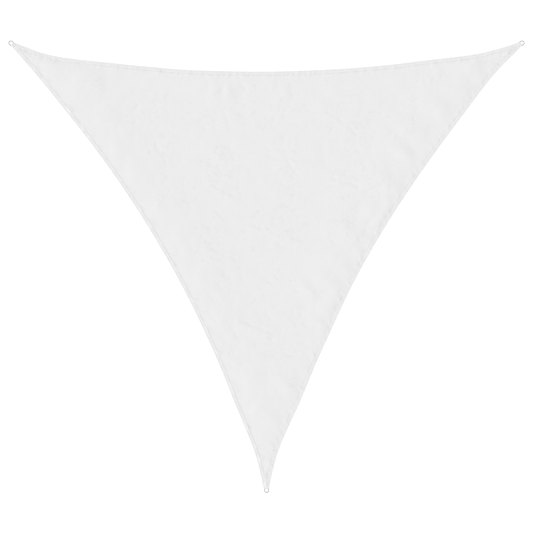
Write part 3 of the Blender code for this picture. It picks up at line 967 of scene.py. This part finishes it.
def triangulate(loops, points):
    """Plan and triangles of all that lies inside the first loop, whose points come first."""
    every = np.concatenate([*loops, points])
    edges, first = [], 0
    for loop in loops:
        count = len(loop)
        edges += [(first + k, first + (k + 1) % count) for k in range(count)]
        first += count
    flat = [Vector(point) for point in every.tolist()]
    found = delaunay_2d_cdt(flat, edges, [], INSIDE_ONLY, MERGE_DISTANCE)
    plan = np.array([tuple(point) for point in found[0]])
    on_first = range(len(loops[0]))
    outline = {old: new for new, olds in enumerate(found[3]) for old in olds if old in on_first}
    order = [outline[old] for old in on_first]
    order += sorted(set(range(len(plan))) - set(order))
    return plan[order], np.argsort(order)[np.array(found[2])]


def facing_up(plan, faces):
    """The same triangles, each with its corners in the order that faces up."""
    a, b, c = (plan[faces[:, k]] for k in range(3))
    return np.where(turn_of(b - a, c - a)[:, None] > 0, faces, faces[:, ::-1])


def top_mesh(edge):
    """Plan and triangles of the sheet's top, closest together at hems, creases and tips."""
    loops = [edge] + [closed_line(depth * MM, TOP_SPACING) for depth in TOP_LINES[1:]]
    sharp = thinned(in_field(crease_points(), TOP_LINES, TOP_LATTICE), CREASE_SPACING)
    wide = without_close(field_points(TOP_LINES, TOP_LATTICE), sharp, TOP_LATTICE / 2)
    fine = without_close(tip_points(), np.concatenate(loops), TIP_LATTICE / 2)
    return triangulate(loops, np.concatenate([wide, sharp, fine]))


def under_mesh(edge):
    """Plan and triangles of the sheet's plainer underside."""
    loops = [edge] + [closed_line(depth * MM, UNDER_SPACING) for depth in UNDER_LINES]
    return triangulate(loops, field_points(UNDER_LINES, UNDER_LATTICE))


def add_object(name, data):
    """A new object in the scene."""
    item = bpy.data.objects.new(name, data)
    bpy.context.scene.collection.objects.link(item)
    return item


def add_mesh(name, points, faces, material):
    mesh = bpy.data.meshes.new(name)
    faces = faces.tolist() if isinstance(faces, np.ndarray) else faces
    mesh.from_pydata(points.tolist(), [], faces)
    mesh.materials.append(material)
    mesh.shade_smooth()
    return add_object(name, mesh)


def seam_shade(points, nearest):
    """How close each point is to a sewn row, for the darker line along it: painted shade, with the
    thread holes.
    """
    inner = hump((nearest - SEAM_MIDDLE) / SEAM_WIDE)
    shade = np.maximum(inner, OUTER_SHADE * hump((nearest - OUTER_ROW) / OUTER_WIDE))
    for index, side in enumerate(sides):
        share, depth = side.share_and_depth(points)
        on_row = np.flatnonzero((shade > 0) & (depth - nearest < TIP_SPACING))
        seed = SEAM_SEED + index
        place = (share[on_row] * side.length / SEAM_PATCH, seed, seed)
        shade[on_row] *= patchy(SEAM_STRENGTH, *place)
    # Painted shade along the corner seams and bar tacks, more where they are sewn more times.
    for start, end, passes in seam_lines():
        line = hump(off_line(points, start, end) / CORNER_SEAM_WIDE)
        shade = np.maximum(shade, min(1.0, CORNER_SEAM_SHADE + PASS_SHADE * passes) * line)
    return shade


def clear_below(plan, heights, faces, free, top_plan, top_heights):
    """Heights of the coarse underside, lowered wherever the finer top dips through it."""
    flat = np.column_stack([plan, np.zeros(len(plan))])
    tree = BVHTree.FromPolygons(flat.tolist(), faces.tolist())
    found = [tree.find_nearest((x, y, 0.0))[2] for x, y in top_plan.tolist()]
    corners = faces[np.array(found)]
    a, b, c = (plan[corners[:, k]] for k in range(3))
    area = turn_of(b - a, c - a)
    part_b = turn_of(top_plan - a, c - a) / area
    part_c = turn_of(b - a, top_plan - a) / area
    parts = np.column_stack([1.0 - part_b - part_c, part_b, part_c])
    heights = heights.copy()
    for _ in range(CLEAR_ROUNDS):
        under = (parts * heights[corners]).sum(axis=1)
        short = np.minimum(CLEAR_GAP, top_heights) + under - top_heights
        drop = np.zeros(len(heights))
        np.maximum.at(drop, corners, short[:, None].clip(0))
        heights = np.where(free, np.maximum(heights - drop, 0.0), heights)
    return heights


def add_sheet(material):
    """The whole sheet: a fine top, a coarser underside, and one rolled edge that they share."""
    edge = closed_line(0.0, TOP_SPACING)
    top_plan, top_faces = top_mesh(edge)
    under_plan, under_faces = under_mesh(edge)
    top_height, _, top_depth, top_dark = sheet_heights(top_plan)
    _, under_height, under_depth, under_dark = sheet_heights(under_plan)
    shared = len(edge)
    under_height = clear_below(
        under_plan, under_height, under_faces, under_depth > CLEAR_FROM, top_plan, top_height,
    )
    points = np.concatenate([
        np.column_stack([top_plan, top_height]),
        np.column_stack([under_plan, under_height])[shared:],
    ])
    top_faces = facing_up(top_plan, top_faces)
    under_faces = facing_up(under_plan, under_faces)[:, ::-1]
    moved = np.where(under_faces < shared, under_faces, under_faces + len(top_plan) - shared)
    sheet = add_mesh("sail_sheet", points, np.concatenate([top_faces, moved]), material)

    # Painted shade for the cloth's colour: at the sewn rows with their thread holes, and in the
    # creases.
    for name, on_top, on_underside in (
        ("seam", seam_shade(top_plan, top_depth), seam_shade(under_plan, under_depth)),
        ("crease", top_dark, under_dark),
    ):
        values = np.concatenate([on_top, on_underside[shared:]])
        sheet.data.attributes.new(name, "FLOAT", "POINT").data.foreach_set("value", values)
    return sheet


# ---- Stitches ----

# Along the stitch from -1 to 1, thread radius and rise of its middle, both as shares of a radius.
STITCH_STATIONS = ((-1.0, 0.5, -1.10), (-0.5, 1.0, 0.0), (0.5, 1.0, 0.0), (1.0, 0.5, -1.10))
STITCH_SIDES = 5


def tube_faces(rings, sides_round, ends_meet=False):
    """Four-sided faces of a tube through rings of points, joined end to start or left open."""
    ring, k = np.mgrid[: rings if ends_meet else rings - 1, :sides_round].reshape(2, -1)
    near, far = ring * sides_round, (ring + 1) % rings * sides_round
    after = (k + 1) % sides_round
    return np.column_stack([near + k, near + after, far + after, far + k])


def stitch_template():
    """One thread hump: points as (along, across, up), and its faces."""
    turns = 2 * math.pi * (np.arange(STITCH_SIDES) + 0.5) / STITCH_SIDES
    points = [
        (along, radius * math.cos(turn), rise + radius * math.sin(turn))
        for along, radius, rise in STITCH_STATIONS
        for turn in turns
    ]
    walls = tube_faces(len(STITCH_STATIONS), STITCH_SIDES)
    last = len(points) - STITCH_SIDES
    ends = []
    for k in range(1, STITCH_SIDES - 1):
        ends += [(0, k + 1, k), (last, last + k, last + k + 1)]
    return np.array(points), np.concatenate([walls[:, [0, 1, 2]], walls[:, [0, 2, 3]], ends])


def stitches_along(plan_line, up):
    """Thread humps along a line of the plan, on the top of the sheet or under it."""
    length = run_along(plan_line)[-1]
    count = max(1, round(length / STITCH_PITCH))
    middles = (np.arange(count) + 0.5) * length / count
    start = on_sheet(walk(plan_line, middles - STITCH_LENGTH / 2), up)
    end = on_sheet(walk(plan_line, middles + STITCH_LENGTH / 2), up)
    along = (end - start) / 2
    aside = np.column_stack([unit(left_of(along)) * up, np.zeros(count)]) * THREAD_RADIUS
    above = np.array([0.0, 0.0, up])
    middle = (start + end) / 2 - above * STITCH_SINK
    template, faces = stitch_template()
    points = middle[:, None] + along[:, None] * template[:, :1] + aside[:, None] * template[:, 1:2]
    points = points + above * THREAD_RADIUS * template[:, 2:]
    numbers = faces + (np.arange(count) * len(template))[:, None, None]
    return points.reshape(-1, 3), numbers.reshape(-1, 3)


def add_stitches(name, lines, material):
    """One joined mesh of all the stitches on lines of (plan line, up)."""
    points, faces, first = [], [], 0
    for line, up in lines:
        more_points, more_faces = stitches_along(line, up)
        points.append(more_points)
        faces.append(more_faces + first)
        first += len(more_points)
    return add_mesh(name, np.concatenate(points), np.concatenate(faces), material)


def hem_row(index, depth):
    """Plan line of one sewn row, from tip to tip."""
    side = sides[index]
    (_, start), _ = corner_stop(sides[index - 1], side, depth)
    (end, _), _ = corner_stop(side, sides[(index + 1) % len(sides)], depth)
    return side.point(spaced_shares(side, start, end, TOP_SPACING), depth)


def seam_passes(start, end, passes):
    """The parallel runs of a seam that is sewn several times over."""
    left = left_of(unit(end - start))
    for k in range(passes):
        shift = left * SEAM_PASS_GAP * (k - (passes - 1) / 2)
        yield np.array([start + shift, end + shift])


def add_sewing(material):
    """Both rows of each hem on the face and underneath, and the seams at the corners."""
    pieces = []
    for index, name in enumerate(("top", "right", "left")):
        for row, depth in (("outer", OUTER_ROW), ("inner", INNER_ROW)):
            line = hem_row(index, depth)
            for ending, up in (("", 1), ("_under", -1)):
                stitches = add_stitches(f"hem_row_{name}_{row}{ending}", [(line, up)], material)
                pieces.append(stitches)
    seams = [
        (run, 1)
        for start, end, passes in seam_lines()
        for run in seam_passes(start, end, passes)
    ]
    pieces.append(add_stitches("corner_seams", seams, material))
    return pieces


# ---- Webbing loops and D-rings ----


def arc(centre, radius, start, end, steps):
    """Points along an arc from one angle to another, in degrees."""
    turns = np.radians(np.linspace(start, end, steps + 1))
    return np.column_stack([centre[0] + radius * np.cos(turns), centre[1] + radius * np.sin(turns)])


def evenly(line, step):
    """The same line with its points a step apart, and how far along it each lies."""
    length = run_along(line)[-1]
    at = np.linspace(0.0, length, round(length / step) + 1)
    return walk(line, at), at


def strap_path():
    """Middle of the webbing's thickness in side view: x into the sail, y up."""
    bar = np.array([RING_LEG, LOOP_OUTER])
    lower, upper = PLY_THICK / 2, PLY_THICK * 1.5 + GAP
    away = np.array([FLANK_END, upper]) - bar
    touch = math.degrees(math.atan2(away[1], away[0]) + math.acos(LOOP_MIDDLE / np.hypot(*away)))
    return np.concatenate([
        [(STRAP_END, lower)],
        arc(bar, LOOP_MIDDLE, 270, touch, LOOP_STEPS),
        [(FLANK_END, upper), (STRAP_END, upper)],
    ])


def in_corner(corner, points):
    """Points given as (into the sail, across, up), placed at their corner."""
    ring, into, across = corner_axes(corner)
    plan = ring + points[:, :1] * into + points[:, 1:2] * across
    return np.column_stack([plan, points[:, 2]])


def add_webbing(name, corner, material):
    """Ribbed webbing folded round the ring's bar, swept with its own section."""
    path, run = evenly(strap_path(), STRAP_STEP)
    outward = left_of(unit(np.gradient(path, axis=0)))
    across = np.linspace(-1.0, 1.0, STRAP_POINTS_ACROSS)
    width = across * STRAP_WIDTH / 2
    edge = np.sqrt(np.clip(1.0 - np.abs(across) ** STRAP_EDGE_POWER, 0.0, 1.0))
    edge = edge * (1.0 - STRAP_EDGE) + STRAP_EDGE
    rib = RIB_HIGH * np.cos(2 * math.pi * width / RIB_PITCH)
    wave = np.cos(2 * math.pi * width / (2 * RIB_PITCH))
    rings = []
    for place, out, at in zip(path, outward, run):
        pick = PICK_HIGH * wave * math.cos(2 * math.pi * at / PICK_PITCH)
        half = (PLY_THICK / 2 - RIB_HIGH - PICK_HIGH) * edge
        outer = half + rib * edge + pick
        inner = -half - rib * edge + pick
        section = np.concatenate([
            np.column_stack([width, inner]), np.column_stack([width, outer])[::-1],
        ])
        spots = place + section[:, 1:] * out
        rings.append(np.column_stack([spots[:, 0], section[:, 0], spots[:, 1]]))
    points = in_corner(corner, np.concatenate(rings))
    around = 2 * STRAP_POINTS_ACROSS
    first, last = list(range(around)), list(range(len(points) - around, len(points)))
    faces = tube_faces(len(path), around).tolist() + [first[::-1], last]
    return add_mesh(name, points, faces, material)


def ring_path():
    """Centre line of the D: middle of its bar at 0, 0 and its round end towards -x."""
    corner = RING_RADIUS - RING_BEND
    outline = np.concatenate([
        arc((-RING_LEG, 0.0), RING_RADIUS, 90, 270, ROUND_STEPS),
        arc((-RING_BEND, -corner), RING_BEND, -90, 0, BEND_STEPS),
        arc((-RING_BEND, corner), RING_BEND, 0, 90, BEND_STEPS),
    ])
    return evenly(np.concatenate([outline, outline[:1]]), WIRE_STEP)[0][:-1]


def add_ring(name, corner, material):
    """Round wire bent to a D, with the low bead of its weld in the bar."""
    path = ring_path()
    outward = left_of(unit(np.roll(path, -1, axis=0) - np.roll(path, 1, axis=0)))
    on_bar = path[:, 0] > -RING_BEND / 2
    radius = WIRE_RADIUS + WELD_HIGH * on_bar * hump(path[:, 1] / WELD_WIDE)
    turns = 2 * math.pi * np.arange(WIRE_SIDES) / WIRE_SIDES
    flat = path[:, None, :] + outward[:, None, :] * (radius[:, None] * np.cos(turns))[..., None]
    up = radius[:, None] * np.sin(turns)
    lean = math.asin((LOOP_OUTER - WIRE_RADIUS) / (RING_LEG + RING_RADIUS))
    into = RING_LEG + flat[..., 0] * math.cos(lean) - up * math.sin(lean)
    above = LOOP_OUTER + flat[..., 0] * math.sin(lean) + up * math.cos(lean)
    points = np.stack([into, flat[..., 1], above], axis=-1).reshape(-1, 3)
    faces = tube_faces(len(path), WIRE_SIDES, ends_meet=True)
    return add_mesh(name, in_corner(corner, points), faces, material)


# ---- Materials ----


# Places of the colour sockets on a Mix node, and how often a wave texture of scale 1 repeats.
MIX_FIRST, MIX_SECOND, MIX_RESULT = 6, 7, 2
WAVE_REPEAT = math.pi / 10.0


class Shading:
    """A new material with its Principled shader, and short ways to add nodes to it."""

    def __init__(self, name, inputs):
        self.material = bpy.data.materials.new(name)
        self.material.use_nodes = True
        self.tree = self.material.node_tree
        self.shader = self.tree.nodes["Principled BSDF"]
        self.colour = inputs["Base Color"]
        self.feed(self.shader, inputs)

    def feed(self, node, inputs):
        """Set a node's inputs to values, or join them to other nodes' outputs."""
        for key, value in inputs.items():
            if isinstance(value, bpy.types.NodeSocket):
                self.tree.links.new(value, node.inputs[key])
            else:
                node.inputs[key].default_value = value

    def add(self, kind, output, inputs, **settings):
        """One output of a new node."""
        node = self.tree.nodes.new(kind)
        for key, value in settings.items():
            setattr(node, key, value)
        self.feed(node, inputs)
        return node.outputs[output]

    def place(self, stretch=(1.0, 1.0, 1.0), turn=0.0):
        """The piece's own coordinates in metres, stretched and turned about Z."""
        own = self.add("ShaderNodeTexCoord", "Object", {})
        inputs = {"Vector": own, "Scale": stretch, "Rotation": (0.0, 0.0, math.radians(turn))}
        return self.add("ShaderNodeMapping", "Vector", inputs)

    def noise(self, size, detail=3.0, stretch=(1.0, 1.0, 1.0), turn=0.0):
        inputs = {"Scale": 1.0 / size, "Detail": detail, "Vector": self.place(stretch, turn)}
        return self.add("ShaderNodeTexNoise", "Fac", inputs)

    def wave(self, pitch, axis):
        """Even ribs a pitch apart along one axis."""
        inputs = {"Scale": WAVE_REPEAT / pitch, "Vector": self.place()}
        settings = {"wave_type": "BANDS", "bands_direction": axis}
        return self.add("ShaderNodeTexWave", "Fac", inputs, **settings)

    def ramp(self, factor, low, high, start=0.3, end=0.7):
        """Map a factor from start..end to low..high."""
        inputs = {"From Min": start, "From Max": end, "To Min": low, "To Max": high}
        return self.add("ShaderNodeMapRange", "Result", {"Value": factor, **inputs})

    def times(self, first, second):
        return self.add("ShaderNodeMath", "Value", {0: first, 1: second}, operation="MULTIPLY")

    def tint(self, *factors):
        """Base colour multiplied by each of the factors."""
        total = reduce(self.times, factors)
        parts = {"Red": total, "Green": total, "Blue": total}
        grey = self.add("ShaderNodeCombineColor", "Color", parts)
        inputs = {"Factor": 1.0, MIX_FIRST: self.colour, MIX_SECOND: grey}
        settings = {"data_type": "RGBA", "blend_type": "MULTIPLY"}
        tinted = self.add("ShaderNodeMix", MIX_RESULT, inputs, **settings)
        self.feed(self.shader, {"Base Color": tinted})

    def bumps(self, *layers):
        """Bump layers of (height, distance in metres, strength), one on the other."""
        inputs = {}
        for height, distance, strength in layers:
            inputs |= {"Height": height, "Distance": distance, "Strength": strength}
            inputs["Normal"] = self.add("ShaderNodeBump", "Normal", inputs)
        self.feed(self.shader, {"Normal": inputs["Normal"]})


CLOTH = {
    "Base Color": (0.706, 0.707, 0.706, 1.0),
    "Roughness": 0.82,
    "Sheen Weight": 0.06,
    "Sheen Roughness": 0.5,
}
THREAD = {"Base Color": (0.46, 0.46, 0.455, 1.0), "Roughness": 0.62, "Sheen Weight": 0.15}
WEBBING = {"Base Color": (0.80, 0.80, 0.795, 1.0), "Roughness": 0.74, "Sheen Weight": 0.12}
STEEL = {"Base Color": (0.24, 0.24, 0.25, 1.0), "Roughness": 0.24, "Metallic": 1.0}
YARN_PITCH = 0.0009
SLUB_SIZE = 0.0016
SLUB_STRETCH = 0.05


def cloth_material():
    """Plain weave, slubby yarns, faint mottling, and painted shade in creases and at rows with
    their holes.
    """
    made = Shading("sail_polyester", CLOTH)
    weave = made.times(made.wave(YARN_PITCH, "X"), made.wave(YARN_PITCH, "Y"))
    warp = made.noise(SLUB_SIZE, 2.0, stretch=(1.0, SLUB_STRETCH, 1.0))
    weft = made.noise(SLUB_SIZE, 2.0, stretch=(SLUB_STRETCH, 1.0, 1.0))
    mottle = made.noise(0.085, 4.0)
    seam = made.add("ShaderNodeAttribute", "Fac", {}, attribute_name="seam")
    crease = made.add("ShaderNodeAttribute", "Fac", {}, attribute_name="crease")
    made.tint(
        made.ramp(warp, 0.992, 1.008),
        made.ramp(weft, 0.992, 1.008),
        made.ramp(mottle, 0.994, 1.006),
        made.ramp(weave, 0.975, 1.0, start=0.0, end=0.6),
        # Painted shade: along the sewn rows with their thread holes, and in the creases.
        made.ramp(seam, 1.0, 0.955, start=0.0, end=1.0),
        made.ramp(crease, 1.0, 0.95, start=0.0, end=2.0),
    )
    made.feed(made.shader, {"Roughness": made.ramp(mottle, 0.78, 0.88)})
    yarns = [(warp, 0.00008, 0.5), (weft, 0.00008, 0.5), (weave, 0.00012, 0.5)]
    made.bumps((mottle, 0.0006, 0.25), *yarns)
    return made.material


def thread_material():
    """Twisted polyester thread, a little greyer than the cloth."""
    made = Shading("sewing_thread", THREAD)
    twist = made.noise(0.0006, 2.0, turn=35.0)
    made.tint(made.ramp(twist, 0.86, 1.08))
    made.bumps((twist, 0.00012, 0.6))
    return made.material


def webbing_material():
    """Heavy ribbed webbing with its yarns showing."""
    made = Shading("corner_webbing", WEBBING)
    yarns = made.noise(0.0007)
    soil = made.noise(0.009)
    made.tint(made.ramp(yarns, 0.90, 1.04), made.ramp(soil, 0.97, 1.02))
    made.bumps((yarns, 0.00016, 0.7))
    return made.material


def steel_material():
    """Polished steel wire with fine draw lines and a few duller patches."""
    made = Shading("ring_steel", STEEL)
    dull = made.noise(0.005, 4.0)
    lines = made.noise(0.0007)
    made.tint(made.ramp(dull, 0.90, 1.06))
    made.feed(made.shader, {"Roughness": made.ramp(dull, 0.18, 0.36)})
    made.bumps((lines, 0.00003, 0.5))
    return made.material


# ---- Picture ----


def add_floor():
    """Round pale floor, lit a little from within as a light table is."""
    made = Shading("studio_floor", {
        "Base Color": (FLOOR_GREY, FLOOR_GREY, FLOOR_GREY, 1.0),
        "Roughness": 1.0,
        "Specular IOR Level": 0.0,
        "Emission Color": WHITE,
        "Emission Strength": FLOOR_GLOW,
    })
    bpy.ops.mesh.primitive_circle_add(vertices=FLOOR_SIDES, radius=FLOOR_RADIUS, fill_type="NGON")
    floor = bpy.context.object
    floor.name = "studio_floor"
    floor.data.materials.append(made.material)


def add_light():
    """Even white surroundings and one broad soft sun low from the left."""
    world = bpy.data.worlds.new("studio")
    world.use_nodes = True
    background = world.node_tree.nodes["Background"]
    background.inputs["Color"].default_value = WHITE
    background.inputs["Strength"].default_value = SKY
    bpy.context.scene.world = world
    sun = add_object("key", bpy.data.lights.new("key", "SUN"))
    sun.data.energy = SUN_POWER
    sun.data.angle = math.radians(SUN_SPREAD)
    height = math.radians(SUN_HEIGHT)
    towards = direction(SUN_FROM)
    source = Vector((*(towards * math.cos(height)), math.sin(height)))
    sun.rotation_mode = "QUATERNION"
    sun.rotation_quaternion = source.to_track_quat("Z", "Y")


def add_camera():
    """Straight above, with the picture's width equal to the framed width on the sheet."""
    camera = add_object("camera", bpy.data.cameras.new("camera"))
    camera.data.lens = LENS
    camera.data.sensor_width = SENSOR
    camera.location = (*FRAME_CENTRE, LENS * FRAME_WIDTH / SENSOR)
    bpy.context.scene.camera = camera
    bpy.context.scene.view_settings.view_transform = "Standard"


# ---- Putting it together ----

add_camera()
add_light()
add_floor()

sheet = add_sheet(cloth_material())
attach(sheet, "root")
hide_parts("sail_cloth")

sewing = add_sewing(thread_material())
for piece in sewing:
    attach(piece, "root")

webbing, steel = webbing_material(), steel_material()
fittings = []
for corner_name in CORNERS:
    strap = add_webbing(f"webbing_{corner_name}", corner_name, webbing)
    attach(strap, "root")
    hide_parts(f"corner_strap_{corner_name}")
    ring_wire = add_ring(f"ring_{corner_name}", corner_name, steel)
    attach(ring_wire, "root")
    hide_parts(f"d_ring_{corner_name}")
    fittings += [strap, ring_wire]
